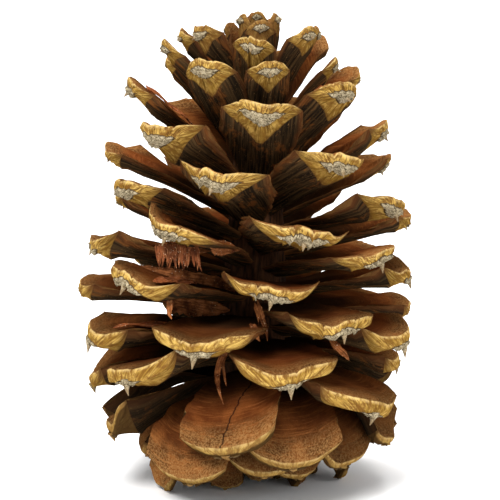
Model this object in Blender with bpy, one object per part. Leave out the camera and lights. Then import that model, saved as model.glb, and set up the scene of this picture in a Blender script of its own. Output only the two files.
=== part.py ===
"""An open, dry longleaf pine cone standing upright on its drooping basal scales.

Metres, +Z up, the cone's axis near +Z, the floor at z = 0.
A cone grows as one piece, so its woody axis and all its scales are one solid.
The scales follow the golden-angle spiral of a real cone. Each one is a fan-shaped
woody blade with a thick keeled tip (the apophysis) and a small downward prickle
on the keel's high point (the umbo). The lowest tips are worn flat where it stands.
A few papery seed wings are still lodged on their scales, each a piece of its own.
"""
import math
import random

import bmesh
import bpy
from mathutils import Matrix, Vector

MM = 0.001

# Driving dimensions
SCALE_COUNT = 97
GOLDEN_ANGLE = math.radians(137.50776)
FIRST_AZIMUTH = math.radians(101.6)
LEAN = math.radians(1.3)
RANDOM_SEED = 7
WIDTH_VARIETY = 0.05            # how far a scale's width strays from the profile, as a share
LIFT_VARIETY = 3.0              # how far a scale's slope strays from the profile, in degrees

# Scale number from the base, then the radius and height of its umbo in millimetres
UMBO_PROFILE = [
    (0, 7.0, 2.0), (7, 17.5, 0.0), (12, 27.0, 3.2), (15, 32.5, 5.5), (20, 40.5, 11.0),
    (25, 47.0, 20.0), (31, 51.5, 32.0), (36, 52.8, 42.5), (49, 52.0, 72.0), (62, 45.0, 101.0),
    (72, 36.0, 124.0), (81, 28.0, 139.0), (88, 21.5, 144.5), (90, 12.0, 145.5), (91, 9.0, 146.5),
    (93, 6.8, 148.5), (96, 4.5, 149.7),
]
# Scale number from the base, then the radius and height of its root on the axis in millimetres
ROOT_PROFILE = [(0, 6.0, 17.0), (25, 9.0, 35.0), (51, 8.8, 70.6), (72, 7.0, 101.4), (96, 2.5, 133.0)]
# Scale number from the base, then its full width in millimetres
WIDTH_PROFILE = [
    (0, 9.0), (7, 14.0), (12, 19.0), (20, 27.0), (25, 30.0), (36, 32.5), (41, 32.5), (49, 29.5),
    (62, 27.0), (70, 24.5), (75, 18.5), (78, 13.0), (84, 13.0), (88, 11.5), (93, 8.0), (96, 6.5),
]
# Scale number from the base, then how far its root rises and its tip droops, in degrees
ARCH_PROFILE = [
    (0, 20), (7, 30), (12, 38), (20, 42), (26, 38), (29, 26), (32, 10), (38, 6), (44, 3), (96, 8),
]
# Scale number from the base, then how far its corners stand back, as a share of its length
FRONT_ARC_PROFILE = [(0, 0.1), (26, 0.1), (34, 0.16), (96, 0.16)]
# Scale number from the base, then in millimetres: how far the umbo lies below the rim and
# stands out past it, how far the apophysis's lower corner lies below the umbo and back from
# the rim, and the prickle's length
APOPHYSIS_PROFILE = [
    (0, 3.4, 1.0, 3.0, 8.0, 3.0), (36, 3.6, 1.0, 3.0, 8.5, 3.6), (42, 3.4, 0.2, 2.4, 9.0, 3.4),
    (49, 3.2, -1.0, 1.2, 9.5, 3.2), (57, 3.1, -2.2, 0.8, 10.5, 2.6), (70, 3.3, -3.3, 1.4, 12.5, 2.0),
    (96, 2.8, -3.2, 1.2, 12.0, 1.6),
]
# Scales that grew out of line: scale number, then degrees turned, degrees raised and
# millimetres longer
ODD_SCALES = {
    7: (-12, 0, 0), 10: (-6, 18, 0), 12: (-12, 4, 3), 15: (2, 12, 0), 17: (0, 0, -4),
    18: (-8, 10, -2), 20: (0, -4, 0), 23: (-8, 0, 0), 25: (-8, 0, 0), 26: (0, -7, -2),
    28: (-1, -7, 0), 33: (-7, 7, 0), 34: (0, 0, -6), 39: (0, 0, -2), 41: (1, 1, 0),
    42: (0, 0, 2), 43: (0, 5, 5), 44: (-2, -1, 0), 46: (6, 6, 0), 47: (0, 0, -4), 49: (6, -3, 0),
    51: (0, 3, 0), 52: (-6, -1, 0), 54: (2, 6, 0), 55: (0, -2, 0), 57: (-3, -8, 0), 59: (5, 6, 0),
    60: (-10, -5, 0), 62: (-3, -2, 0), 63: (0, -2, 4), 64: (0, -4, 3), 65: (-5, -2, 0),
    67: (-4, -1, 0), 68: (0, 0, -1), 70: (-6, 3, 0), 72: (0, -4, 5), 73: (-12, 0, 0),
    75: (-7, 8, 2), 78: (-22, 0, 0), 80: (-12, 1, 3), 81: (0, 1, -6), 86: (-6, 3, 0),
    88: (-12, -2, 2), 91: (-15, 0, 0),
}
# Scales with a shape of their own: scale number, then degrees rolled about their length,
# degrees less arched, and width as a share of the profile's
SHAPED_SCALES = {
    25: (22, 33, 1.0), 28: (16, 0, 1.07), 31: (-11, 0, 1.2), 33: (18, 0, 1.2), 46: (-8, 0, 1.1),
    49: (-8, 0, 1.0), 54: (-14, 0, 1.0), 57: (-9, 0, 1.05), 62: (-7, 0, 1.0), 65: (-8, 0, 0.92),
    67: (0, 0, 1.1), 70: (-5, 0, 0.95), 75: (10, 0, 0.95),
}
# Scales whose prickle has broken off
BROKEN_PRICKLES = (59, 67, 70, 75)

# The outline of a scale seen from above
FULL_WIDTH = 30.0 * MM          # the width at which the thicknesses below hold
ROOT_WIDTH_SHARE = 0.27
WIDEST_SHARE = 0.9              # where a scale reaches its full width, as a share of its length
WIDENING_POWER = 1.15
FRONT_ARC_POWER = 2.2
CUP_SHARES = (0.02, 0.08)       # how far the corners curl up, as a share of the width
CUP_POWER = 1.5
ROOT_SINK = 3.0 * MM            # how deep a scale's root goes into the axis

# The section of a scale along its length
EDGE_THICKNESS = 1.0 * MM
ROOT_THICKNESS = 3.6 * MM
BLADE_THICKNESS = 3.2 * MM
THINNING_POWER = 0.8            # how the blade thins towards its sides
UPPER_EDGE_SHARE = 0.6          # share of the edge's thickness that is above the keel line
KEEL_DROP_POWER = 1.6
HEEL_EDGE_BACK = 0.4 * MM
HEEL_WIDTH_SHARE = 0.985

PRICKLE_RADIUS = 0.9 * MM
PRICKLE_TURN = math.radians(-70.0)
PRICKLE_SINK = 0.8 * MM
PRICKLE_SIDES = 3

WIDE_SECTIONS = (-1.0, -0.58, 0.0, 0.58, 1.0)
NARROW_SECTIONS = (-1.0, 0.0, 1.0)
NARROW_BELOW = 17.5 * MM        # scales narrower than this take three sections
BLADE_SHARES = (0.0, 0.5, 1.0)

AXIS_SIDES = 8
AXIS_RINGS = 6
AXIS_EXTRA = 1.0 * MM

FLOOR_LEVEL = 1.8 * MM          # height in the profiles at which the lowest tips are worn flat
FLOOR_BLOCK = 200.0 * MM        # side of the block that cuts them

# Seed wings: scale number, where the wing starts and ends along the scale as shares of its
# length, and the sideways share of its middle at each end
SEED_WINGS = {
    "seed_wing_lower_left": (38, (0.50, 0.93), (0.25, 0.62)),
    "seed_wing_middle_left": (46, (0.48, 0.95), (0.20, 0.55)),
    "seed_wing_upper_left": (72, (0.50, 0.90), (0.15, 0.40)),
    "seed_wing_upper_right": (73, (0.55, 0.93), (-0.10, -0.40)),
}
WING_HALF_WIDTH = 3.6 * MM
WING_THICKNESS = 0.7 * MM
WING_CLEARANCE = 0.5 * MM       # between the wing and the scale it lies on
WING_ROWS = 9
WING_COLUMNS = (-1.0, 0.0, 1.0)
WING_RIPPLE = 0.25 * MM
WING_RIPPLES = 2                # waves along the wing
WING_ROOT_WIDTH = 0.35          # width of the wing's seed end, as a share
WING_FULLNESS_POWER = 0.8       # moves the widest place towards the seed end

COLOURS = {
    "bark_brown": (0.20, 0.11, 0.06, 1.0),
    "papery_red_brown": (0.42, 0.20, 0.10, 1.0),
}


def clear_scene():
    for old in list(bpy.data.objects):
        bpy.data.objects.remove(old)


def plain_material(name, roughness):
    material = bpy.data.materials.new(name)
    material.use_nodes = True
    shader = material.node_tree.nodes["Principled BSDF"]
    shader.inputs["Base Color"].default_value = COLOURS[name]
    shader.inputs["Roughness"].default_value = roughness
    shader.inputs["Metallic"].default_value = 0.0
    return material


def smooth_value(points, number, column):
    """Reads a column of a profile at a scale number, on a smooth curve through its points."""
    last = len(points) - 1
    i = 0
    while i < last - 1 and number > points[i + 1][0]:
        i += 1
    before, here, there, after = (points[min(max(k, 0), last)] for k in (i - 1, i, i + 1, i + 2))
    span = there[0] - here[0]
    u = min(max((number - here[0]) / span, 0.0), 1.0)
    slope_here = (there[column] - before[column]) / (there[0] - before[0]) * span
    slope_there = (after[column] - here[column]) / (after[0] - here[0]) * span
    return (
        (2 * u**3 - 3 * u**2 + 1) * here[column]
        + (u**3 - 2 * u**2 + u) * slope_here
        + (3 * u**2 - 2 * u**3) * there[column]
        + (u**3 - u**2) * slope_there
    )


class Scale:
    """One scale's place and size: where it leaves the axis, where its rim is, and how it arches."""

    def __init__(self, index, draw):
        turned, raised, longer = ODD_SCALES.get(index, (0, 0, 0))
        rolled, flattened, width_share = SHAPED_SCALES.get(index, (0, 0, 1.0))
        width_share *= draw.uniform(1 - WIDTH_VARIETY, 1 + WIDTH_VARIETY)
        self.index = index
        self.azimuth = FIRST_AZIMUTH + GOLDEN_ANGLE * index + math.radians(turned)
        self.roll = math.radians(rolled)
        self.width = smooth_value(WIDTH_PROFILE, index, 1) * MM * width_share
        self.bulk = math.sqrt(self.width / FULL_WIDTH)
        self.edge = EDGE_THICKNESS * min(1.0, (1 + self.width / FULL_WIDTH) / 2)
        self.cup = draw.uniform(*CUP_SHARES)
        raised += draw.uniform(-LIFT_VARIETY, LIFT_VARIETY)
        root = Vector([smooth_value(ROOT_PROFILE, index, k) * MM for k in (1, 2)])
        umbo = Vector([smooth_value(UMBO_PROFILE, index, k) * MM for k in (1, 2)])
        arch = math.radians(smooth_value(ARCH_PROFILE, index, 1) - flattened)
        apophysis = [smooth_value(APOPHYSIS_PROFILE, index, k) * MM * self.bulk for k in range(1, 6)]
        self.keel_drop, self.keel_reach, self.heel_drop, self.heel_back, self.prickle_length = apophysis
        self.front_arc = smooth_value(FRONT_ARC_PROFILE, index, 1)
        reach = umbo - root
        reach.rotate(Matrix.Rotation(math.radians(raised), 2))
        outward = reach.normalized()
        drooping = outward.copy()
        drooping.rotate(Matrix.Rotation(-arch, 2))
        upward = Vector((-drooping.y, drooping.x))
        self.tip = root + reach + outward * longer * MM
        self.tip += upward * self.keel_drop - drooping * self.keel_reach
        self.root = root - outward * ROOT_SINK
        self.length = (self.tip - self.root).length
        lifted = (self.tip - self.root) * (0.5 / math.cos(arch))
        lifted.rotate(Matrix.Rotation(arch, 2))
        self.bend = self.root + lifted

    def midline(self, share):
        """Point and direction on the midline, in the radial plane: outward, then up."""
        u = min(share, 1.0)
        point = self.root * (1 - u) ** 2 + self.bend * 2 * u * (1 - u) + self.tip * u**2
        direction = (self.bend - self.root) * (1 - u) + (self.tip - self.bend) * u
        direction.normalize()
        return point + direction * self.length * (share - u), direction

    def place(self, share, sideways, height):
        """World point at a share of the length, sideways and above the blade's upper face."""
        point, direction = self.midline(share)
        rolled = Matrix.Rotation(self.roll, 2) @ Vector((sideways, height))
        sideways, height = rolled
        point = point + Vector((-direction.y, direction.x)) * height
        outward = Vector((math.sin(self.azimuth), -math.cos(self.azimuth), 0.0))
        across = Vector((math.cos(self.azimuth), math.sin(self.azimuth), 0.0))
        return outward * point.x + across * sideways + Vector((0.0, 0.0, point.y))

    def half_width(self, share):
        spread = math.sin(min(share / WIDEST_SHARE, 1.0) * math.pi / 2) ** WIDENING_POWER
        return self.width / 2 * (ROOT_WIDTH_SHARE + (1 - ROOT_WIDTH_SHARE) * spread)

    def front(self, side):
        return 1.0 - self.front_arc * abs(side) ** FRONT_ARC_POWER

    def upper_height(self, share, side):
        return self.cup * self.width * side**2 * min(share, 1.0) ** CUP_POWER

    def upper_point(self, share, side, lift=0.0):
        along = share * self.front(side)
        return self.place(along, self.half_width(share) * side, self.upper_height(share, side) + lift)

    def keel(self, side):
        """Share of the length and height at which the keel runs, at a sideways share."""
        away = abs(side)
        reach = self.keel_reach * (1 - away**2) / self.length
        drop = self.edge * UPPER_EDGE_SHARE + self.keel_drop * (1 - away**KEEL_DROP_POWER)
        return self.front(side) + reach, self.upper_height(1.0, side) - drop

    def heel(self, side):
        """Share of the length and height of the apophysis's lower edge, at a sideways share."""
        middle = 1 - abs(side)
        back = (self.heel_back * middle + HEEL_EDGE_BACK) / self.length
        drop = self.edge * (1 - UPPER_EDGE_SHARE) + self.heel_drop * middle
        return self.front(side) - back, self.keel(side)[1] - drop

    def section(self, side):
        """Closed loop round the scale at a sideways share: upper face, apophysis, underside."""
        sideways = self.half_width(1.0) * side
        loop = [self.upper_point(share, side) for share in BLADE_SHARES]
        for (share, height), width_share in ((self.keel(side), 1.0), (self.heel(side), HEEL_WIDTH_SHARE)):
            loop.append(self.place(share, sideways * width_share, height))
        for share, thickness in ((BLADE_SHARES[1], BLADE_THICKNESS), (0.0, ROOT_THICKNESS)):
            inner = (thickness * self.bulk - self.edge) * (1 - abs(side)) ** THINNING_POWER
            loop.append(self.upper_point(share, side, -self.edge - inner))
        return loop

    def prickle(self):
        """Corner points of the slim spine on the umbo, and its tip."""
        share, height = self.keel(0.0)
        share -= PRICKLE_SINK / self.length
        foot = self.place(share, 0.0, height)
        tip_share = share + math.cos(PRICKLE_TURN) * self.prickle_length / self.length
        tip = self.place(tip_share, 0.0, height + math.sin(PRICKLE_TURN) * self.prickle_length)
        line = (tip - foot).normalized()
        across = Vector((math.cos(self.azimuth), math.sin(self.azimuth), 0.0))
        other = line.cross(across).normalized()
        foot -= line * PRICKLE_SINK
        turns = [math.tau * k / PRICKLE_SIDES for k in range(PRICKLE_SIDES)]
        radius = PRICKLE_RADIUS * self.bulk
        return [foot + (across * math.cos(a) + other * math.sin(a)) * radius for a in turns], tip


def link_mesh(name, mesh, collection=None):
    solid = bpy.data.objects.new(name, mesh)
    (collection or bpy.context.scene.collection).objects.link(solid)
    return solid


def closed_mesh(name, build):
    shape = bmesh.new()
    build(shape)
    bmesh.ops.triangulate(shape, faces=shape.faces)
    bmesh.ops.recalc_face_normals(shape, faces=shape.faces)
    if shape.calc_volume(signed=True) < 0:
        bmesh.ops.reverse_faces(shape, faces=shape.faces)
    mesh = bpy.data.meshes.new(name)
    shape.to_mesh(mesh)
    shape.free()
    return mesh


def cap(shape, row):
    """Closes a loop that is long and thin with a strip of faces from end to end."""
    last = len(row) - 1
    for k in range(len(row) // 2):
        corners = [row[k], row[k + 1], row[last - k - 1], row[last - k]]
        corners = list(dict.fromkeys(corners))
        if len(corners) > 2:
            shape.faces.new(corners)


def loft(shape, loops):
    """Skins a row of closed loops and caps both ends."""
    rows = [[shape.verts.new(point) for point in loop] for loop in loops]
    for row, following in zip(rows, rows[1:]):
        for k in range(len(row)):
            shape.faces.new((row[k - 1], row[k], following[k], following[k - 1]))
    cap(shape, rows[0])
    cap(shape, rows[-1])


def scale_mesh(scale):
    def build(shape):
        sides = NARROW_SECTIONS if scale.width < NARROW_BELOW else WIDE_SECTIONS
        loft(shape, [scale.section(side) for side in sides])

    return closed_mesh(f"scale_{scale.index:02d}", build)


def prickle_mesh(scale):
    def build(shape):
        corners, tip = scale.prickle()
        base = [shape.verts.new(point) for point in corners]
        peak = shape.verts.new(tip)
        shape.faces.new(base)
        for k in range(len(base)):
            shape.faces.new((base[k - 1], base[k], peak))

    return closed_mesh(f"prickle_{scale.index:02d}", build)


def axis_mesh():
    """The woody axis: a spindle that all the roots sink into, with a flat stem scar below."""

    def build(shape):
        loops = []
        for ring in range(AXIS_RINGS):
            number = ring / (AXIS_RINGS - 1) * (SCALE_COUNT - 1)
            radius = smooth_value(ROOT_PROFILE, number, 1) * MM + AXIS_EXTRA
            height = smooth_value(ROOT_PROFILE, number, 2) * MM
            turns = [math.tau * k / AXIS_SIDES for k in range(AXIS_SIDES)]
            loops.append([Vector((radius * math.cos(a), radius * math.sin(a), height)) for a in turns])
        loft(shape, loops)

    return closed_mesh("axis", build)


def apply_boolean(solid, operation, other):
    """Applies one Boolean with another object, or with all the objects of a collection."""
    change = solid.modifiers.new("change", "BOOLEAN")
    change.operation = operation
    change.solver = "MANIFOLD"
    if isinstance(other, bpy.types.Collection):
        change.operand_type = "COLLECTION"
        change.collection = other
    else:
        change.object = other
    graph = bpy.context.evaluated_depsgraph_get()
    result = bpy.data.meshes.new_from_object(solid.evaluated_get(graph))
    result.name = solid.name
    solid.modifiers.clear()
    solid.data = result


def keep_largest_body(mesh):
    """Drops loose scraps and the walls of sealed hollows, which fills those hollows."""
    shape = bmesh.new()
    shape.from_mesh(mesh)
    unseen = set(shape.verts)
    bodies = []
    while unseen:
        body = [unseen.pop()]
        for vert in body:
            found = {edge.other_vert(vert) for edge in vert.link_edges} & unseen
            unseen -= found
            body.extend(found)
        bodies.append(body)
    bodies.sort(key=len)
    loose = [vert for body in bodies[:-1] for vert in body]
    bmesh.ops.delete(shape, geom=loose, context="VERTS")
    shape.to_mesh(mesh)
    shape.free()


def build_cone(scales):
    repeats = bpy.data.collections.new("repeats")
    bpy.context.scene.collection.children.link(repeats)
    for scale in scales:
        link_mesh(f"scale_{scale.index:02d}", scale_mesh(scale), repeats)
        if scale.index not in BROKEN_PRICKLES:
            link_mesh(f"prickle_{scale.index:02d}", prickle_mesh(scale), repeats)
    cone = link_mesh("cone", axis_mesh())
    apply_boolean(cone, "UNION", repeats)
    for used in list(repeats.objects):
        bpy.data.objects.remove(used)
    bpy.data.collections.remove(repeats)
    keep_largest_body(cone.data)
    return cone


def wear_flat(cone):
    """Cuts off what reaches below the floor, so that the cone stands on small flat spots."""
    shape = bmesh.new()
    below = Matrix.Translation((0.0, 0.0, FLOOR_LEVEL - FLOOR_BLOCK / 2))
    bmesh.ops.create_cube(shape, size=FLOOR_BLOCK, matrix=below)
    mesh = bpy.data.meshes.new("floor_block")
    shape.to_mesh(mesh)
    shape.free()
    block = link_mesh("floor_block", mesh)
    apply_boolean(cone, "DIFFERENCE", block)
    bpy.data.objects.remove(block)


def wing_section(scale, row, shares, sides):
    """Closed loop across a seed wing at one row of its length: its top, then its underside."""
    u = row / (WING_ROWS - 1)
    share = shares[0] + (shares[1] - shares[0]) * u
    middle = sides[0] + (sides[1] - sides[0]) * u
    fullness = math.sin(math.pi * u**WING_FULLNESS_POWER)
    fullness = WING_ROOT_WIDTH + (1 - WING_ROOT_WIDTH) * fullness
    half = WING_HALF_WIDTH * fullness / scale.half_width(share)
    lift = WING_CLEARANCE + WING_RIPPLE * (1 - math.cos(math.tau * WING_RIPPLES * u))
    under = [scale.upper_point(share, middle + half * k, lift) for k in WING_COLUMNS]
    top = [scale.upper_point(share, middle + half * k, lift + WING_THICKNESS) for k in WING_COLUMNS]
    return top + under[::-1]


def build_seed_wing(name, scales):
    index, shares, sides = SEED_WINGS[name]

    def build(shape):
        loft(shape, [wing_section(scales[index], row, shares, sides) for row in range(WING_ROWS)])

    return link_mesh(name, closed_mesh(name, build))


def set_material(solid, material):
    solid.data.materials.clear()
    solid.data.materials.append(material)


def floor_middle(mesh):
    """The point of the floor under the middle of the cone's box."""
    middle = Vector((0.0, 0.0, FLOOR_LEVEL))
    for k in (0, 1):
        values = [vertex.co[k] for vertex in mesh.vertices]
        middle[k] = (min(values) + max(values)) / 2
    return middle


def main():
    clear_scene()
    draw = random.Random(RANDOM_SEED)
    scales = [Scale(index, draw) for index in range(SCALE_COUNT)]
    cone = build_cone(scales)
    wings = [build_seed_wing(name, scales) for name in SEED_WINGS]
    for solid in [cone, *wings]:
        solid.data.transform(Matrix.Rotation(LEAN, 4, "Y"))
    wear_flat(cone)
    centred = Matrix.Translation(-floor_middle(cone.data))
    for solid in [cone, *wings]:
        solid.data.transform(centred)
    set_material(cone, plain_material("bark_brown", 0.75))
    papery = plain_material("papery_red_brown", 0.6)
    for wing in wings:
        set_material(wing, papery)


main()
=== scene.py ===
"""The looks of an open longleaf pine cone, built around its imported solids.

Metres, +Z up, floor at z = 0. Every scale follows the same profiles and the same random draw
as the solid cone, with a finer surface: a wavy rim, a wrinkled golden tip with a rough grey
umbo and a curved prickle, a red-brown upper face and a nearly black underside. Papery seed
wings and torn strips of them are lodged between the scales.
"""

import math
import random

import bpy
import numpy as np
from mathutils import Matrix, Vector


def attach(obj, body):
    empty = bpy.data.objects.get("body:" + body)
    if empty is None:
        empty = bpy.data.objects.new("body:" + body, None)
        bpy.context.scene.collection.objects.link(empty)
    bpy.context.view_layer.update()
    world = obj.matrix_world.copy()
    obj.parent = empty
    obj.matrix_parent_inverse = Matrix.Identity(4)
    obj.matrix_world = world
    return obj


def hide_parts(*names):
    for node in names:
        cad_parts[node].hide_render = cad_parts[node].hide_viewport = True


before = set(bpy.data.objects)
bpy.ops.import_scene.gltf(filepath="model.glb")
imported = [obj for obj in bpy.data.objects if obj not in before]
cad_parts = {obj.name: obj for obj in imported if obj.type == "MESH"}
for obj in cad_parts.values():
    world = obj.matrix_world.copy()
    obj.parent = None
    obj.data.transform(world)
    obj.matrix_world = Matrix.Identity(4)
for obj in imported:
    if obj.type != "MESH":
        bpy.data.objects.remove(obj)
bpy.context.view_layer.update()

MM = 0.001

# The cone's growth, as in the solid
SCALE_COUNT = 97
GOLDEN_ANGLE = math.radians(137.50776)
FIRST_AZIMUTH = math.radians(101.6)
LEAN = math.radians(1.3)
RANDOM_SEED = 7
WIDTH_VARIETY = 0.05
LIFT_VARIETY = 3.0
FLOOR_MIDDLE = Vector((-1.406, -0.246, 1.8)) * MM  # the floor point under the unmoved solid's box

# Profiles: a scale's number from the base, then the values that hold for it, in millimetres or as
# the comment says. Here, the radius and height of its umbo
UMBO_PROFILE = [
    (0, 7, 2), (7, 17.5, 0), (12, 27, 3.2), (15, 32.5, 5.5), (20, 40.5, 11),
    (25, 47, 20), (31, 51.5, 32), (36, 52.8, 42.5), (49, 52, 72), (62, 45, 101),
    (72, 36, 124), (81, 28, 139), (88, 21.5, 144.5), (90, 12, 145.5), (91, 9, 146.5),
    (93, 6.8, 148.5), (96, 4.5, 149.7),
]
# Radius and height of its root on the axis
ROOT_PROFILE = [(0, 6, 17), (25, 9, 35), (51, 8.8, 70.6), (72, 7, 101.4), (96, 2.5, 133)]
# Full width
WIDTH_PROFILE = [
    (0, 9), (7, 14), (12, 19), (20, 27), (25, 30), (36, 32.5), (41, 32.5), (49, 29.5),
    (62, 27), (70, 24.5), (75, 18.5), (78, 13), (84, 13), (88, 11.5), (93, 8), (96, 6.5),
]
# How far its root rises and its tip droops, in degrees
ARCH_PROFILE = [
    (0, 20), (7, 30), (12, 38), (20, 42), (26, 38), (29, 26), (32, 10), (38, 6), (44, 3), (96, 8),
]
# How far its corners stand back, as a share of its length
FRONT_ARC_PROFILE = [(0, 0.1), (26, 0.1), (34, 0.16), (96, 0.16)]
# How far the umbo lies below the rim and stands out past it, how far the apophysis's lower corner
# lies below the umbo and back from the rim, and the prickle's length
APOPHYSIS_PROFILE = [
    (0, 3.4, 1, 3, 8, 3), (36, 3.6, 1, 3, 8.5, 3.6), (42, 3.4, 0.2, 2.4, 9, 3.4),
    (49, 3.2, -1, 1.2, 9.5, 3.2), (57, 3.1, -2.2, 0.8, 10.5, 2.6), (70, 3.3, -3.3, 1.4, 12.5, 2),
    (96, 2.8, -3.2, 1.2, 12, 1.6),
]
# Scales that grew out of line: degrees turned, degrees raised and millimetres longer
ODD_SCALES = {
    7: (-12, 0, 0), 10: (-6, 18, 0), 12: (-12, 4, 3), 15: (2, 12, 0), 17: (0, 0, -4),
    18: (-8, 10, -2), 20: (0, -4, 0), 23: (-8, 0, 0), 25: (-8, 0, 0), 26: (0, -7, -2),
    28: (-1, -7, 0), 33: (-7, 7, 0), 34: (0, 0, -6), 39: (0, 0, -2), 41: (1, 1, 0),
    42: (0, 0, 2), 43: (0, 5, 5), 44: (-2, -1, 0), 46: (6, 6, 0), 47: (0, 0, -4), 49: (6, -3, 0),
    51: (0, 3, 0), 52: (-6, -1, 0), 54: (2, 6, 0), 55: (0, -2, 0), 57: (-3, -8, 0), 59: (5, 6, 0),
    60: (-10, -5, 0), 62: (-3, -2, 0), 63: (0, -2, 4), 64: (0, -4, 3), 65: (-5, -2, 0),
    67: (-4, -1, 0), 68: (0, 0, -1), 70: (-6, 3, 0), 72: (0, -4, 5), 73: (-12, 0, 0),
    75: (-7, 8, 2), 78: (-22, 0, 0), 80: (-12, 1, 3), 81: (0, 1, -6), 86: (-6, 3, 0),
    88: (-12, -2, 2), 91: (-15, 0, 0),
}
# Scales with a shape of their own: degrees rolled about their length, degrees less arched,
# and width as a share of the profile's
SHAPED_SCALES = {
    25: (22, 33, 1), 28: (16, 0, 1.07), 31: (-11, 0, 1.2), 33: (18, 0, 1.2), 46: (-8, 0, 1.1),
    49: (-8, 0, 1), 54: (-14, 0, 1), 57: (-9, 0, 1.05), 62: (-7, 0, 1), 65: (-8, 0, 0.92),
    67: (0, 0, 1.1), 70: (-5, 0, 0.95), 75: (10, 0, 0.95),
}
BROKEN_PRICKLES = (59, 67, 70, 75)
# Low front tips: millimetres shorter than in the solid, so that their rims show
SHORTER_TIPS = {2: 3.0, 7: 3.2, 10: 1.5}
# Scales that are flatter across than in the solid, with their cup as a share of their width
FLATTER_CUPS = {36: 0.01, 41: 0.01}

# A scale's outline and section, as in the solid
FULL_WIDTH = 30.0 * MM
ROOT_WIDTH_SHARE = 0.27
WIDEST_SHARE = 0.9
WIDENING_POWER = 1.15
FRONT_ARC_POWER = 2.2
CUP_SHARES = (0.02, 0.08)
CUP_POWER = 1.5
ROOT_SINK = 3.0 * MM
EDGE_THICKNESS = 1.0 * MM
ROOT_THICKNESS = 3.6 * MM
BLADE_THICKNESS = 3.2 * MM
THINNING_POWER = 0.8
UPPER_EDGE_SHARE = 0.6
HEEL_EDGE_BACK = 0.4 * MM
HEEL_WIDTH_SHARE = 0.985
PRICKLE_TURN = math.radians(-70.0)
PRICKLE_SINK = 0.8 * MM

# The fine surface of a scale
FINE_SEED = 4100
COLUMNS = 65
UPPER_ROWS = 24
BAND_ROWS = 14  # from the rim down to the keel
HEEL_ROWS = 14  # from the keel down to the apophysis's lower corner
UNDER_ROWS = 16
SMALL_WIDTH = 16.0 * MM  # scales narrower than this take a coarser grid
SMALL_GRID_SHARE = 0.62
SIDE_CROWDING = 0.2  # how much the columns crowd towards a scale's sides
SIDE_ROUNDING_POWER = 10
SIDE_LEAST_THICKNESS = 0.3  # thickness left at the very side, as a share
ROUGHNESS_PROFILE = [(0, 0.5), (36, 0.45), (46, 1.0), (96, 1.0)]  # how ragged a scale's rim is
RIM_WAVE = 0.42 * MM
RIM_REACH_WAVE = 0.35 * MM
RIM_WAVE_CYCLES = (0.8, 4.5)
RIM_WAVE_POWER = 7
RIM_BUMP = (0.2 * MM, 0.8 * MM)
RIM_BUMP_WIDTH = (0.07, 0.15)
RIM_NOTCH_DEPTH = (0.5 * MM, 1.3 * MM)
RIM_NOTCH_WIDTH = 0.022
RIM_ROUNDING = 0.45 * MM
RIM_ROUNDING_REACH = 1.3 * MM
CORNER_CURL = (0.2 * MM, 1.9 * MM)
CORNER_CURL_POWER = 5
EDGE_WAVE = 1.1 * MM
EDGE_WAVE_CYCLES = (1.5, 8.0)
WARP = 1.1 * MM
WARP_CYCLES = (0.4, 1.6)
CRINKLE = 0.3 * MM  # the cross wrinkles of the upper face
CRINKLE_CYCLES = (9.0, 26.0)
IMPRINT_DEPTH = 0.5 * MM  # the hollows where the two seeds' wings lay
IMPRINT_SIDE = 0.45  # their place and reach, as shares of the half width
IMPRINT_REACH = 0.3
BAND_BULGE = 0.6 * MM
BAND_LOBES = 0.5 * MM
BAND_LOBE_CYCLES = (1.5, 4.5)
BAND_WRINKLE = 0.42 * MM
WRINKLE_CYCLES = (5.0, 15.0)
FOLD_CLOSING = 0.45  # how much the tip's folds close up towards the umbo
HEEL_SAG = 0.5 * MM
HEEL_ROUNDING = 0.09  # rounds the apophysis's lower corner, as a share of the half width
# The power at which the golden band narrows towards its corners
BAND_POWER_PROFILE = [(0, 12), (36, 12), (43, 7), (49, 3), (57, 1.6), (96, 1.6)]
# The golden tip's depth as a share of the solid's
TIP_DEPTH_PROFILE = [(0, 1), (49, 1), (60, 1.25), (96, 1.25)]
# The umbo's half width as a share of the scale's, and its height above and below the keel
UMBO_SIZE_PROFILE = [
    (0, 0.3, 0.4, 1.6), (28, 0.34, 0.5, 1.8), (36, 0.4, 1, 2), (46, 0.5, 1.9, 2.5),
    (60, 0.6, 2.6, 3.2), (96, 0.64, 2.6, 3.2),
]
UMBO_RAISE = 0.75 * MM
UMBO_GROOVE = 0.4 * MM  # the dip between the umbo and the golden band above it
UMBO_LUMPS = 0.5 * MM
UMBO_LUMP_CYCLES = (4.0, 11.0)
UMBO_EDGE_CYCLES = (3.0, 9.0)
UMBO_ROUGHNESS = 0.16 * MM
UMBO_SOFT_EDGE = 0.8 * MM
UNDER_POWER = 2.2  # how fast the swollen tip thins into the blade
UNDER_RIDGE = 0.45 * MM
UNDER_RIDGE_CYCLES = (2.0, 7.0)
UNDER_KEEL = 1.4 * MM  # the ridge along the middle of the blade's underside
UNDER_KEEL_REACH = 0.3  # as a share of the half width

SEED_STEP = 0.37  # the step in the shading fields from one scale to the next
GRAIN_APART = 9.0  # how far that step sets their grain apart
PRICKLE_BASE = 1.5 * MM
PRICKLE_POINT = 0.08  # its radius at the end, as a share of that at the base
# The prickle's length as a share of the solid's
PRICKLE_SHARE_PROFILE = [(0, 0.3), (28, 0.4), (33, 0.85), (96, 0.85)]
BROKEN_PRICKLE_SHARE = 0.05
PRICKLE_SIDES = 10
PRICKLE_RINGS = 9
PRICKLE_CURVE = 0.5 * MM

AXIS_RINGS = 60
AXIS_SIDES = 48
AXIS_EXTRA = 1.0 * MM
AXIS_RELIEF = 0.5 * MM
AXIS_SPIRALS = 8
AXIS_PITCH = 5.0 * MM
AXIS_GRAIN_RADIUS = 9.0  # in millimetres
SHARP_ANGLE = math.radians(80.0)

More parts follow.
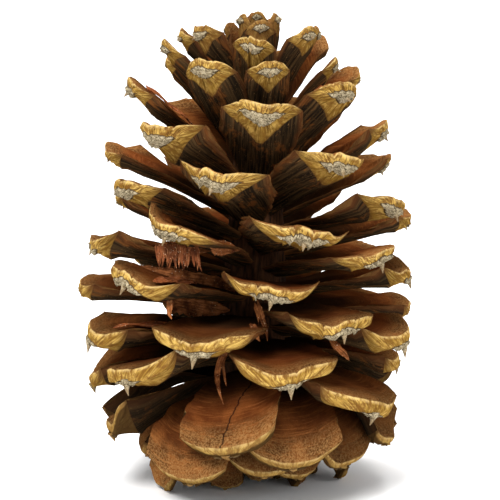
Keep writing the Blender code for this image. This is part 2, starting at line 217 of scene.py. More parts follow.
# The scales' pieces: name, first scale, last scale
SCALE_PIECES = [
    ("basal_scales", 0, 21), ("lower_scales", 22, 40), ("middle_scales", 41, 58),
    ("upper_scales", 59, 76), ("crown_scales", 77, 96),
]
# How dark a scale's upper face is, from 0 to 1, where it isn't left to chance
FACE_DARKNESS = {
    10: 0.7, 12: 0.1, 18: 0.9, 20: 0.25, 23: 0.45, 26: 0.95, 28: 0.3, 31: 0.75, 33: 0.8, 36: 0.55,
    38: 0.7, 41: 0.8, 43: 0.8, 44: 0.7, 46: 0.6,
}
# Splits in the upper face: sideways place at the rim in millimetres, then its slope
CRACKS = {28: (-1.0, -0.22)}
NO_CRACK = 50.0

# Seed wings, as in the solids: scale number, where the wing starts and ends along the scale as
# shares of its length, and the sideways share of its middle at each end
SEED_WINGS = {
    "seed_wing_lower_left": (38, (0.50, 0.93), (0.25, 0.62)),
    "seed_wing_middle_left": (46, (0.48, 0.95), (0.20, 0.55)),
    "seed_wing_upper_left": (72, (0.50, 0.90), (0.15, 0.40)),
    "seed_wing_upper_right": (73, (0.55, 0.93), (-0.10, -0.40)),
}
WING_HALF_WIDTH = 3.6 * MM
WING_THICKNESS = 0.7 * MM
WING_CLEARANCE = 0.5 * MM
WING_RIPPLE = 0.25 * MM
WING_RIPPLES = 2
WING_ROOT_WIDTH = 0.35
WING_FULLNESS_POWER = 0.8
WING_ROWS = 64
WING_COLUMNS = 15
WING_PAPER = 0.22 * MM
WING_CREASE = 0.16 * MM
WING_RAGGEDNESS = 0.05
WING_CYCLES = (2.0, 12.0)

# Torn papery strips: the points that each follows, in millimetres, and its width at its middle
STRIPS = [
    ([(-3.9, -31, 51.5), (-6.4, -34, 47.5), (-8.4, -37, 42.5), (-8, -39.5, 38), (-6.5, -41, 33.5)], 2),
    ([(-4.4, -31.5, 50), (-6.6, -34.5, 45.5), (-6.2, -38.5, 41.5), (-5.6, -40, 38.8)], 1.1),
    ([(3.6, -33, 63.5), (4.6, -36, 59.5), (6, -37, 55.5), (6.6, -38.5, 52.2)], 1.8),
    ([(2.8, -34, 63), (3.6, -36.5, 60), (4, -38, 57)], 1.1),
    ([(25, -36, 52.6), (27.2, -38.5, 50.4), (29.6, -39.5, 48.2), (30.8, -40, 46.6)], 2.2),
    ([(1.4, -40, 57.6), (2.8, -41.5, 56.2), (3.4, -42, 54), (4.4, -42.5, 52.8)], 2),
    ([(-21.6, -34, 65.4), (-22.4, -37, 63.4), (-22.6, -38.5, 60.8), (-21.8, -39, 58.8)], 2),
    ([(-30.5, -31, 66.8), (-26, -31.5, 66.2), (-21, -31, 66), (-16, -29.5, 65.6)], 4.2),
    ([(-27, -35.5, 79.6), (-22, -35.5, 79.4), (-16.5, -34, 78.8), (-10, -31, 78.2)], 5),
    ([(-10.5, -37, 80.6), (-7.5, -35.5, 79.8), (-4.5, -34, 79.4), (-1.5, -32, 78.6)], 4.6),
    ([(0, -7, 62), (-10, -8, 64.4), (-20, -10, 66.8), (-30, -12, 69.4),
      (-40, -14, 71.9)], 6),
    ([(-26, -8, 60.2), (-19, -8, 58.8), (-12, -7, 57.2), (-5, -7, 56.2)], 8),
]
STRIP_RINGS = 40
STRIP_SIDES = 8
STRIP_PAPER = 0.16 * MM
STRIP_CURL = 0.3
STRIP_TWIST = 0.9
STRIP_FACING = (0.25, -1.0, 0.2)
STRIP_RAGGEDNESS = 0.16
STRIP_CYCLES = (3.0, 14.0)
# The fringe of torn strands: the two ends of the edge that it hangs from, in millimetres
FRINGE_EDGE = ((-26.4, -39.0, 81.5), (-13.6, -37.0, 80.4))
FRINGE_STRANDS = 24
FRINGE_LENGTH = (5.6, 7.6)
FRINGE_WIDTH = (0.6, 1.2)
FRINGE_SWAY = 1.6

# Camera, at the photograph's viewing angle
CAMERA_TARGET = Vector((1.4, 0.2, 74.5)) * MM
CAMERA_DISTANCE = 0.546
CAMERA_ELEVATION = math.radians(7.3)
CAMERA_WIDTH = 0.159  # width of the view at the target
SENSOR_WIDTH = 36.0

# Soft lights: name, place, the point that it is aimed at and size in metres, power in watts
CONE_MIDDLE = (0.0, 0.0, 0.075)
LIGHTS = [
    ("key", (-0.35, -0.80, 0.95), CONE_MIDDLE, 0.45, 19.0),
    ("fill", (0.85, -0.65, 0.35), CONE_MIDDLE, 0.7, 5.0),
    ("top", (0.1, 0.25, 1.1), CONE_MIDDLE, 0.6, 7.0),
    ("backdrop", (0.0, 0.5, 1.3), (0.0, 1.7, 0.3), 0.8, 22.0),
]
WORLD_STRENGTH = 0.6


def srgb(red, green, blue):
    """A colour given as it looks on screen, from 0 to 255, as the linear values that shaders take."""
    values = [channel / 255 for channel in (red, green, blue)]
    linear = [v / 12.92 if v <= 0.04045 else ((v + 0.055) / 1.055) ** 2.4 for v in values]
    return (*linear, 1.0)


def smooth_value(points, number, column):
    """Reads a column of a profile at a scale number, on a smooth curve through its points."""
    last = len(points) - 1
    i = 0
    while i < last - 1 and number > points[i + 1][0]:
        i += 1
    before, here, there, after = (points[min(max(k, 0), last)] for k in (i - 1, i, i + 1, i + 2))
    span = there[0] - here[0]
    u = min(max((number - here[0]) / span, 0.0), 1.0)
    slope_here = (there[column] - before[column]) / (there[0] - before[0]) * span
    slope_there = (after[column] - here[column]) / (after[0] - here[0]) * span
    return (
        (2 * u**3 - 3 * u**2 + 1) * here[column]
        + (u**3 - 2 * u**2 + u) * slope_here
        + (3 * u**2 - 2 * u**3) * there[column]
        + (u**3 - u**2) * slope_there
    )


def smooth_step(value):
    t = np.clip(value, 0.0, 1.0)
    return t * t * (3 - 2 * t)


def stood_up(points):
    """Points of the upright cone, leant and moved as the solid is, and kept above the floor."""
    turn = np.array(Matrix.Rotation(LEAN, 3, "Y"))
    points = points @ turn.T - np.array(FLOOR_MIDDLE)
    points[:, 2] = np.maximum(points[:, 2], 0.0)
    return points


def waves(draw, cycles, count, amplitude):
    """A smooth random line, as a function of a number that runs from -1 to 1."""
    speeds = draw.uniform(cycles[0], cycles[1], count)
    phases = draw.uniform(0.0, math.tau, count)
    weights = draw.uniform(0.4, 1.0, count) * amplitude * 2 / count

    def line(side):
        return sum(w * np.sin(math.tau * f * side / 2 + p) for w, f, p in zip(weights, speeds, phases))

    return line


class Scale:
    """One scale's place, size and fine shape."""

    def __init__(self, index, draw):
        turned, raised, longer = ODD_SCALES.get(index, (0, 0, 0))
        longer -= SHORTER_TIPS.get(index, 0.0)
        rolled, flattened, width_share = SHAPED_SCALES.get(index, (0, 0, 1.0))
        width_share *= draw.uniform(1 - WIDTH_VARIETY, 1 + WIDTH_VARIETY)
        self.index = index
        self.azimuth = FIRST_AZIMUTH + GOLDEN_ANGLE * index + math.radians(turned)
        self.roll = math.radians(rolled)
        self.width = self.read(WIDTH_PROFILE) * MM * width_share
        self.bulk = math.sqrt(self.width / FULL_WIDTH)
        self.edge = EDGE_THICKNESS * min(1.0, (1 + self.width / FULL_WIDTH) / 2)
        self.cup = FLATTER_CUPS.get(index, draw.uniform(*CUP_SHARES))
        raised += draw.uniform(-LIFT_VARIETY, LIFT_VARIETY)
        root = Vector([self.read(ROOT_PROFILE, k) * MM for k in (1, 2)])
        umbo = Vector([self.read(UMBO_PROFILE, k) * MM for k in (1, 2)])
        arch = math.radians(self.read(ARCH_PROFILE) - flattened)
        apophysis = [self.read(APOPHYSIS_PROFILE, k) * MM * self.bulk for k in range(1, 6)]
        self.keel_drop, self.keel_reach, self.heel_drop, self.heel_back, self.prickle_length = apophysis
        self.front_arc = self.read(FRONT_ARC_PROFILE)
        reach = umbo - root
        reach.rotate(Matrix.Rotation(math.radians(raised), 2))
        outward = reach.normalized()
        drooping = outward.copy()
        drooping.rotate(Matrix.Rotation(-arch, 2))
        upward = Vector((-drooping.y, drooping.x))
        self.tip = root + reach + outward * longer * MM
        self.tip += upward * self.keel_drop - drooping * self.keel_reach
        self.root = root - outward * ROOT_SINK
        self.length = (self.tip - self.root).length
        lifted = (self.tip - self.root) * (0.5 / math.cos(arch))
        lifted.rotate(Matrix.Rotation(arch, 2))
        self.bend = self.root + lifted
        self.add_fine_shape()

    def read(self, profile, column=1):
        return smooth_value(profile, self.index, column)

    def add_fine_shape(self):
        draw = np.random.default_rng(FINE_SEED + self.index)
        roughness = self.read(ROUGHNESS_PROFILE) * self.bulk
        self.rim_line = waves(draw, RIM_WAVE_CYCLES, 5, RIM_WAVE * roughness)
        self.reach_line = waves(draw, RIM_WAVE_CYCLES, 5, RIM_REACH_WAVE * roughness)
        self.edge_lines = [waves(draw, EDGE_WAVE_CYCLES, 5, EDGE_WAVE * self.bulk) for _ in range(2)]
        self.warp_lines = [waves(draw, WARP_CYCLES, 3, WARP * self.bulk) for _ in range(2)]
        self.lobe_lines = [waves(draw, BAND_LOBE_CYCLES, 4, BAND_LOBES * roughness) for _ in range(2)]
        self.wrinkle_line = waves(draw, WRINKLE_CYCLES, 9, BAND_WRINKLE * roughness)
        self.ridge_line = waves(draw, UNDER_RIDGE_CYCLES, 6, UNDER_RIDGE)
        self.crinkle_line = waves(draw, CRINKLE_CYCLES, 8, CRINKLE * roughness)
        self.umbo_line = waves(draw, UMBO_EDGE_CYCLES, 5, 1.0)
        self.lump_lines = [waves(draw, UMBO_LUMP_CYCLES, 4, 1.0) for _ in range(2)]
        tip_depth = self.read(TIP_DEPTH_PROFILE)
        self.keel_drop *= tip_depth
        self.heel_back *= tip_depth
        self.prickle_length *= self.read(PRICKLE_SHARE_PROFILE)
        self.band_power = self.read(BAND_POWER_PROFILE)
        self.umbo_half = self.read(UMBO_SIZE_PROFILE)
        self.umbo_above = self.read(UMBO_SIZE_PROFILE, 2) * MM * self.bulk
        self.umbo_below = self.read(UMBO_SIZE_PROFILE, 3) * MM * self.bulk
        self.bump_heights = draw.uniform(*RIM_BUMP, 2) * roughness
        self.bump_widths = draw.uniform(*RIM_BUMP_WIDTH, 2)
        self.bump_sides = draw.uniform((-0.75, 0.05), (-0.05, 0.75))
        self.notch_sides = draw.uniform((-0.6, 0.1), (-0.1, 0.6))
        self.notch_depths = draw.uniform(*RIM_NOTCH_DEPTH, 2) * roughness
        self.curls = draw.uniform(*CORNER_CURL, 2) * roughness
        self.umbo_side = draw.uniform(-0.05, 0.05)
        self.prickle_sway = draw.uniform(-1.0, 1.0)
        self.darkness = FACE_DARKNESS.get(self.index, draw.uniform(0.15, 0.75))
        self.redness = draw.uniform(0.25, 1.0)
        self.rough = draw

    def place(self, share, sideways, height):
        """World points at shares of the length, sideways and above the blade's upper face."""
        share, sideways, height = (a.ravel() for a in np.broadcast_arrays(share, sideways, height))
        cos_roll, sin_roll = math.cos(self.roll), math.sin(self.roll)
        sideways, height = sideways * cos_roll - height * sin_roll, sideways * sin_roll + height * cos_roll
        root, bend, tip = (np.array(point) for point in (self.root, self.bend, self.tip))
        u = np.minimum(share, 1.0)[:, None]
        point = root * (1 - u) ** 2 + bend * 2 * u * (1 - u) + tip * u**2
        direction = (bend - root) * (1 - u) + (tip - bend) * u
        direction /= np.linalg.norm(direction, axis=1)[:, None]
        normal = np.stack([-direction[:, 1], direction[:, 0]], axis=1)
        point += direction * self.length * (share[:, None] - u) + normal * height[:, None]
        outward = np.array([math.sin(self.azimuth), -math.cos(self.azimuth), 0.0])
        across = np.array([math.cos(self.azimuth), math.sin(self.azimuth), 0.0])
        world = point[:, :1] * outward + sideways[:, None] * across
        world[:, 2] += point[:, 1]
        return world

    def half_width(self, share, side=0.0):
        spread = np.sin(np.minimum(share / WIDEST_SHARE, 1.0) * math.pi / 2) ** WIDENING_POWER
        plain = self.width / 2 * (ROOT_WIDTH_SHARE + (1 - ROOT_WIDTH_SHARE) * spread)
        along = 2 * share - 1
        edge = np.where(np.asarray(side) < 0, self.edge_lines[0](along), self.edge_lines[1](along))
        return plain + edge * np.abs(side) ** 3 * np.sin(math.pi * np.minimum(share, 1.0) ** 2)

    def front(self, side):
        return 1.0 - self.front_arc * np.abs(side) ** FRONT_ARC_POWER + self.reach_line(side) / self.length

    def side_thickness(self, side):
        rounded = np.sqrt(1 - np.abs(side) ** SIDE_ROUNDING_POWER)
        return SIDE_LEAST_THICKNESS + (1 - SIDE_LEAST_THICKNESS) * rounded

    def rim_rise(self, side):
        """How far the rim waves above its smooth line."""
        bumps = sum(
            height * np.exp(-(((side - middle) / width) ** 2))
            for height, middle, width in zip(self.bump_heights, self.bump_sides, self.bump_widths)
        )
        notches = sum(
            depth * np.exp(-(((side - middle) / RIM_NOTCH_WIDTH) ** 2))
            for depth, middle in zip(self.notch_depths, self.notch_sides)
        )
        curl = np.where(side < 0, self.curls[0], self.curls[1]) * np.abs(side) ** CORNER_CURL_POWER
        return self.rim_line(side) + (bumps - notches) * (1 - side**2) + curl

    def upper_height(self, share, side):
        share = np.minimum(share, 1.0)
        smooth = self.cup * self.width * side**2 * share**CUP_POWER
        from_imprint = (np.abs(side) - IMPRINT_SIDE) / IMPRINT_REACH
        imprint = np.exp(-(from_imprint**2)) * np.sin(math.pi * share**0.8) ** 2
        warp = self.warp_lines[0](side) * share**2 + self.warp_lines[1](2 * share - 1) * side * share
        crinkle = self.crinkle_line(2 * share - 1 + 0.04 * side**2)
        crinkle = 4 * crinkle * np.sqrt(np.abs(side)) * share * (1 - share)
        rise = self.rim_rise(side) * share**RIM_WAVE_POWER
        return smooth + warp + crinkle + rise - IMPRINT_DEPTH * self.bulk * imprint

    def keel(self, side):
        """Share of the length at which the keel runs, and how far it lies below the upper face."""
        away = np.abs(side)
        reach = self.keel_reach * (1 - away**2) / self.length
        drop = self.edge * UPPER_EDGE_SHARE + self.keel_drop * (1 - away**self.band_power)
        return self.front(side) + reach, drop * self.side_thickness(side)

    def heel(self, side):
        """The same two numbers for the apophysis's lower edge."""
        middle = 1 - np.hypot(side, HEEL_ROUNDING)
        back = (self.heel_back * middle + HEEL_EDGE_BACK) / self.length
        drop = self.edge * (1 - UPPER_EDGE_SHARE) + self.heel_drop * middle
        return self.front(side) - back, self.keel(side)[1] + drop * self.side_thickness(side)

    def umbo_mask(self, side, above):
        """From 0 to 1 inside the umbo. above is the distance up from the keel, less than 0 below it."""
        away = np.minimum(np.abs(side - self.umbo_side) / self.umbo_half, 1.0)
        ragged = 1 + 0.15 * self.umbo_line(side * 2 + 1.7)
        top = self.umbo_above * (1 - away**2.0) * ragged
        bottom = self.umbo_below * (1 - away**1.2) * ragged
        limit = np.where(above > 0, top - above, bottom + above)
        return smooth_step(limit / UMBO_SOFT_EDGE) * (away < 1.0)

    def umbo_swell(self, side, above, umbo):
        """How far the umbo's lumpy surface stands out of the tip."""
        lumps = self.lump_lines[0](2 * side) * self.lump_lines[1](above / (3.0 * MM) + side)
        rough = self.rough.normal(0.0, UMBO_ROUGHNESS, umbo.shape) * (1 - side**2)
        groove = UMBO_GROOVE * np.sin(math.pi * umbo) * (above > 0)
        return (UMBO_RAISE * self.bulk + UMBO_LUMPS * lumps + rough) * umbo - groove


def stack(*values):
    """Brings one band's values to one shape: share, sideways, height, region, umbo."""
    return [np.array(value) for value in np.broadcast_arrays(*values)]


def pushed_out(scale, start, end, along, swell):
    """Points between two lines of a scale's section, each a share and a drop, swelled outwards."""
    back = (end[0] - start[0]) * scale.length
    down = end[1] - start[1]
    run = np.hypot(back, down)
    share = start[0] + (end[0] - start[0]) * along + swell * down / run / scale.length
    return share, start[1] + down * along - swell * back / run


def upper_band(scale, side, rows):
    """The upper face, from the root to the rim."""
    u = (np.linspace(0.0, 1.0, rows) ** 0.7)[:, None]
    half = scale.half_width(u, side)
    to_rim = np.maximum(1 - (1 - u) * scale.length / RIM_ROUNDING_REACH, 0.0)
    height = scale.upper_height(u, side) - RIM_ROUNDING * scale.bulk * to_rim**2
    return stack(u * scale.front(side), half * side, height, u - 1.0, 0.0)


def rim_band(scale, side, rows):
    """The golden band from the rim down to the keel, wrinkled towards the umbo."""
    v = (np.arange(1, rows + 1) / rows)[:, None] ** 1.3
    keel = scale.keel(side)
    depth = np.hypot((keel[0] - scale.front(side)) * scale.length, keel[1])
    above = (1 - v) * depth
    umbo = scale.umbo_mask(side, above)
    fading = (1 - side**2) * scale.bulk
    swell = BAND_BULGE * np.sin(math.pi * np.minimum(v * 1.05, 1.0)) ** 0.6
    fan = side / (1 - FOLD_CLOSING * v)
    folds = scale.wrinkle_line(fan) + scale.lobe_lines[0](fan)
    swell = swell + folds * np.sin(math.pi * np.minimum(v + 0.15, 1.0)) * (1 - umbo)
    swell = swell * fading + scale.umbo_swell(side, above, umbo)
    start = (scale.front(side), RIM_ROUNDING * scale.bulk)
    share, drop = pushed_out(scale, start, keel, v, swell)
    half = scale.half_width(1.0, side)
    return stack(share, half * side, scale.upper_height(1.0, side) - drop, v, umbo)


def heel_band(scale, side, rows):
    """The darker lower half of the apophysis, from the keel down to its lower corner."""
    w = (np.arange(1, rows + 1) / rows)[:, None]
    keel, heel = scale.keel(side), scale.heel(side)
    depth = np.hypot((keel[0] - heel[0]) * scale.length, heel[1] - keel[1])
    above = -w * depth
    umbo = scale.umbo_mask(side, above)
    fading = (1 - side**2) * scale.bulk
    fan = side / (1 - FOLD_CLOSING * (1 - w))
    folds = scale.wrinkle_line(fan + 3.0) + scale.lobe_lines[1](fan)
    swell = folds * np.sin(math.pi * np.minimum(w + 0.1, 1.0)) * (1 - umbo)
    swell = swell - HEEL_SAG * np.sin(math.pi * w) * (1 - np.abs(side)) * (1 - umbo)
    swell = swell * fading + scale.umbo_swell(side, above, umbo)
    share, drop = pushed_out(scale, keel, heel, w, swell)
    half = scale.half_width(1.0, side) * (1 + (HEEL_WIDTH_SHARE - 1) * w)
    return stack(share, half * side, scale.upper_height(1.0, side) - drop, 1.0 + w, umbo)


def under_band(scale, side, rows):
    """The underside, from the apophysis's lower corner back to the root."""
    q = (np.arange(1, rows + 1) / rows)[:, None]
    heel_share, heel_drop = scale.heel(side)
    share = heel_share * (1 - q)
    full = ROOT_THICKNESS + (BLADE_THICKNESS - ROOT_THICKNESS) * np.minimum(2 * (1 - q), 1.0)
    inner = (full * scale.bulk - scale.edge) * (1 - np.abs(side)) ** THINNING_POWER
    ridge = scale.ridge_line(side) + UNDER_KEEL * np.exp(-((side / UNDER_KEEL_REACH) ** 2)) * q
    ridge = ridge * np.sin(math.pi * q) * (1 - side**2) * scale.bulk
    blade = (scale.edge + inner + ridge) * scale.side_thickness(side)
    swollen = (1 - q) ** UNDER_POWER
    width_share = HEEL_WIDTH_SHARE + (1 - HEEL_WIDTH_SHARE) * q
    sideways = scale.half_width(share / scale.front(side), side) * side * width_share
    height = scale.upper_height(share, side) - heel_drop * swollen - blade * (1 - swollen)
    return stack(share, sideways, height, 2.0 + q, 0.0)


def strip_faces(rows, columns):
    """Faces of a tube of row loops, closed round, with both ends capped by strips."""
    grid = np.arange(rows * columns).reshape(rows, columns)
    after = np.roll(grid, -1, axis=0)
    around = np.stack([grid[:, :-1], grid[:, 1:], after[:, 1:], after[:, :-1]], axis=-1)
    faces = around.reshape(-1, 4).tolist()
    for column, flip in ((0, False), (columns - 1, True)):
        loop = grid[:, column].tolist()
        for k in range(rows // 2):
            corners = list(dict.fromkeys([loop[k], loop[k + 1], loop[-k - 2], loop[-k - 1]]))
            if len(corners) > 2:
                faces.append(corners[::-1] if flip else corners)
    return faces


def tube_faces(rings, sides):
    """Faces of a tube whose rings follow each other, closed by a face at each end."""
    grid = np.arange(rings * sides).reshape(rings, sides)
    beside = np.roll(grid, -1, axis=1)
    around = np.stack([grid[:-1], beside[:-1], beside[1:], grid[1:]], axis=-1)
    ends = [grid[0].tolist()[::-1], grid[-1].tolist()]
    return around.reshape(-1, 4).tolist() + ends


def fields(*columns):
    """Three numbers for every point, for one shading field."""
    return np.stack(np.broadcast_arrays(*columns), axis=-1).reshape(-1, 3)


def scale_surface(scale):
    """Points, faces and shading fields of one scale."""
    share_of_grid = SMALL_GRID_SHARE if scale.width < SMALL_WIDTH else 1.0
    columns = int(COLUMNS * share_of_grid)
    t = np.linspace(-1.0, 1.0, columns)
    side = (1 - SIDE_CROWDING) * t + SIDE_CROWDING * np.sin(math.pi / 2 * t)
    counts = (UPPER_ROWS, BAND_ROWS, HEEL_ROWS, UNDER_ROWS)
    bands = [
        band(scale, side, max(int(count * share_of_grid), 6))
        for band, count in zip((upper_band, rim_band, heel_band, under_band), counts)
    ]
    share, sideways, height, region, umbo = (np.concatenate(field) for field in zip(*bands))
    along = (share - scale.front(side)) * scale.length / MM
    rim_drop = (scale.upper_height(1.0, side) - height) / MM
    down = np.where((region > 0) & (region <= 2), along - rim_drop, along)
    rim_place, slope = CRACKS.get(scale.index, (NO_CRACK, 0.0))
    crack = sideways / MM - rim_place - slope * along
    return {
        "points": scale.place(share, sideways, height),
        "faces": strip_faces(len(region), columns),
        "form": fields(side, region, umbo),
        "flat": fields(sideways / MM, down, scale.index * SEED_STEP),
        "look": fields(crack, scale.darkness, scale.redness),
    }


def prickle_surface(scale):
    """Points, faces and shading fields of the curved spine on a scale's umbo."""
    keel_share, drop = (float(value) for value in scale.keel(0.0))
    foot_height = float(scale.upper_height(1.0, 0.0)) - drop
    ring = np.linspace(0.0, 1.0, PRICKLE_RINGS)[:, None]
    turn = (np.arange(PRICKLE_SIDES) / PRICKLE_SIDES * math.tau)[None, :]
    radius = PRICKLE_BASE * scale.bulk * ((1 - PRICKLE_POINT) * (1 - ring) ** 1.2 + PRICKLE_POINT)
    length = scale.prickle_length * (BROKEN_PRICKLE_SHARE if scale.index in BROKEN_PRICKLES else 1.0)
    run = -PRICKLE_SINK + (length + UMBO_RAISE + PRICKLE_SINK) * ring
    bow = PRICKLE_CURVE * scale.bulk * ring**2
    out = run * math.cos(PRICKLE_TURN) + radius * np.cos(turn) * -math.sin(PRICKLE_TURN) - bow
    up = run * math.sin(PRICKLE_TURN) + radius * np.cos(turn) * math.cos(PRICKLE_TURN)
    sideways = radius * np.sin(turn) + scale.umbo_side * scale.width / 2 + scale.prickle_sway * bow * 0.8
    return {
        "points": scale.place(keel_share + out / scale.length, sideways, foot_height + up),
        "faces": tube_faces(PRICKLE_RINGS, PRICKLE_SIDES),
        "form": fields(np.zeros_like(up), 1.0, 1.0 + ring),
        "flat": fields(sideways / MM, -up / MM, scale.index * SEED_STEP),
        "look": fields(np.full_like(up, NO_CRACK), scale.darkness, scale.redness),
    }


def axis_surface():
    ring = np.linspace(0.0, 1.0, AXIS_RINGS)
    numbers = ring * (SCALE_COUNT - 1)
    radius = np.array([smooth_value(ROOT_PROFILE, n, 1) for n in numbers]) * MM + AXIS_EXTRA
    height = np.array([smooth_value(ROOT_PROFILE, n, 2) for n in numbers]) * MM
    turn = (np.arange(AXIS_SIDES) / AXIS_SIDES * math.tau)[None, :]
    spiral = np.sin(AXIS_SPIRALS * turn + height[:, None] / AXIS_PITCH) * AXIS_RELIEF
    radius = radius[:, None] - AXIS_RELIEF + spiral
    return {
        "points": fields(radius * np.cos(turn), radius * np.sin(turn), height[:, None]),
        "faces": tube_faces(AXIS_RINGS, AXIS_SIDES),
        "flat": fields(turn * AXIS_GRAIN_RADIUS, height[:, None] / MM, 0.0),
    }


def wing_surface(name, scales):
    """A seed wing: paper thin, creased lengthwise, on the line that its solid follows."""
    index, shares, sides = SEED_WINGS[name]
    scale = scales[index]
    u = np.linspace(0.0, 1.0, WING_ROWS)[:, None]
    share = shares[0] + (shares[1] - shares[0]) * u
    middle = sides[0] + (sides[1] - sides[0]) * u
    fullness = np.sin(math.pi * u**WING_FULLNESS_POWER)
    fullness = WING_ROOT_WIDTH + (1 - WING_ROOT_WIDTH) * fullness
    ragged = waves(scale.rough, WING_CYCLES, 6, WING_RAGGEDNESS)(2 * u - 1)
    half = scale.half_width(share)
    t = np.linspace(-1.0, 1.0, WING_COLUMNS)[None, :]
    side = middle + WING_HALF_WIDTH * fullness * (1 + ragged) * t / half
    ripple = WING_RIPPLE * (1 - np.cos(math.tau * WING_RIPPLES * u))
    crease = WING_CREASE * (1 + np.sin(t * 9.0 + u * 5.0))
    lift = WING_CLEARANCE + ripple + crease + (WING_THICKNESS - WING_PAPER) * 0.5
    low = scale.upper_height(share, side) + lift
    height = np.concatenate([low + WING_PAPER, low[:, ::-1]], axis=1)
    across = np.concatenate([side, side[:, ::-1]], axis=1)
    return {
        "points": scale.place(share * scale.front(across), half * across, height),
        "faces": tube_faces(WING_ROWS, 2 * WING_COLUMNS),
        "flat": fields(half * across / MM, share * scale.length / MM, index * SEED_STEP + 0 * height),
    }


def path_points(points, count):
    """Points spaced along a smooth curve through the given ones."""
    rows = [(k, *point) for k, point in enumerate(points)]
    numbers = np.linspace(0.0, len(points) - 1, count)
    return np.array([[smooth_value(rows, n, k) for k in (1, 2, 3)] for n in numbers])


def ribbon_surface(points, width, draw, seed):
    """A torn papery strip: pointed at its end, curled across and twisted along its length."""
    line = path_points(points, STRIP_RINGS) * MM
    along = np.gradient(line, axis=0)
    along /= np.linalg.norm(along, axis=1)[:, None]
    facing = np.cross(along, STRIP_FACING)
    facing /= np.linalg.norm(facing, axis=1)[:, None]
    outward = np.cross(facing, along)
    u = np.linspace(0.0, 1.0, STRIP_RINGS)
    twist = STRIP_TWIST * draw.uniform(-1.0, 1.0) * (2 * u - 1)[:, None]
    across = facing * np.cos(twist) + outward * np.sin(twist)
    normal = outward * np.cos(twist) - facing * np.sin(twist)
    profile = np.clip(u * 5.0, 0.25, 1.0) * (1 - u**2.5) + 0.08
    ragged = waves(draw, STRIP_CYCLES, 6, STRIP_RAGGEDNESS)(2 * u - 1)
    half = width / 2 * MM * profile * (1 + ragged)
    turn = np.arange(STRIP_SIDES) / STRIP_SIDES * math.tau
    reach = half[:, None] * np.cos(turn)
    bend = STRIP_CURL * reach**2 / half.max() + STRIP_PAPER / 2 * np.sin(turn)
    rings = line[:, None, :] + across[:, None, :] * reach[..., None] + normal[:, None, :] * bend[..., None]
    length = np.linspace(0.0, np.linalg.norm(np.diff(line, axis=0), axis=1).sum(), STRIP_RINGS) / MM
    return {
        "points": rings.reshape(-1, 3),
        "faces": tube_faces(STRIP_RINGS, STRIP_SIDES),
        "flat": fields(reach / MM, length[:, None], seed + 0 * reach),
    }


def fringe_strands(draw):
    """The points and width of each strand of the torn fringe."""
    strands = []
    for k in range(FRINGE_STRANDS):
        u = (k + draw.uniform(0.1, 0.9)) / FRINGE_STRANDS
        x, y, z = (first + (last - first) * u for first, last in zip(*FRINGE_EDGE))
        length = draw.uniform(*FRINGE_LENGTH)
        sway = draw.uniform(-FRINGE_SWAY, FRINGE_SWAY)
        points = [(x + sway * q * q, y - q, z - length * q) for q in (0.0, 0.35, 0.7, 1.0)]
        strands.append((points, draw.uniform(*FRINGE_WIDTH)))
    return strands


def joined(surfaces):
    """Several surfaces as one."""
    whole = {"faces": []}
    count = 0
    for surface in surfaces:
        whole["faces"] += [[corner + count for corner in face] for face in surface["faces"]]
        count += len(surface["points"])
    for key in surfaces[0]:
        if key != "faces":
            whole[key] = np.concatenate([surface[key] for surface in surfaces])
    return whole


def added(name, data):
    """A new object of the scene that holds the given mesh, light or camera."""
    thing = bpy.data.objects.new(name, data)
    bpy.context.scene.collection.objects.link(thing)
    return thing


def mesh_piece(name, surface, material):
    """A smooth-shaded object with the shading fields stored on its points."""
    mesh = bpy.data.meshes.new(name)
    mesh.from_pydata(surface["points"].tolist(), [], surface["faces"])
    for key in ("form", "flat", "look"):
        if key in surface:
            layer = mesh.attributes.new(key, "FLOAT_VECTOR", "POINT")
            layer.data.foreach_set("vector", np.ascontiguousarray(surface[key], np.float32).ravel())
    mesh.shade_smooth()
    mesh.set_sharp_from_angle(angle=SHARP_ANGLE)
    mesh.materials.append(material)
    return added(name, mesh)


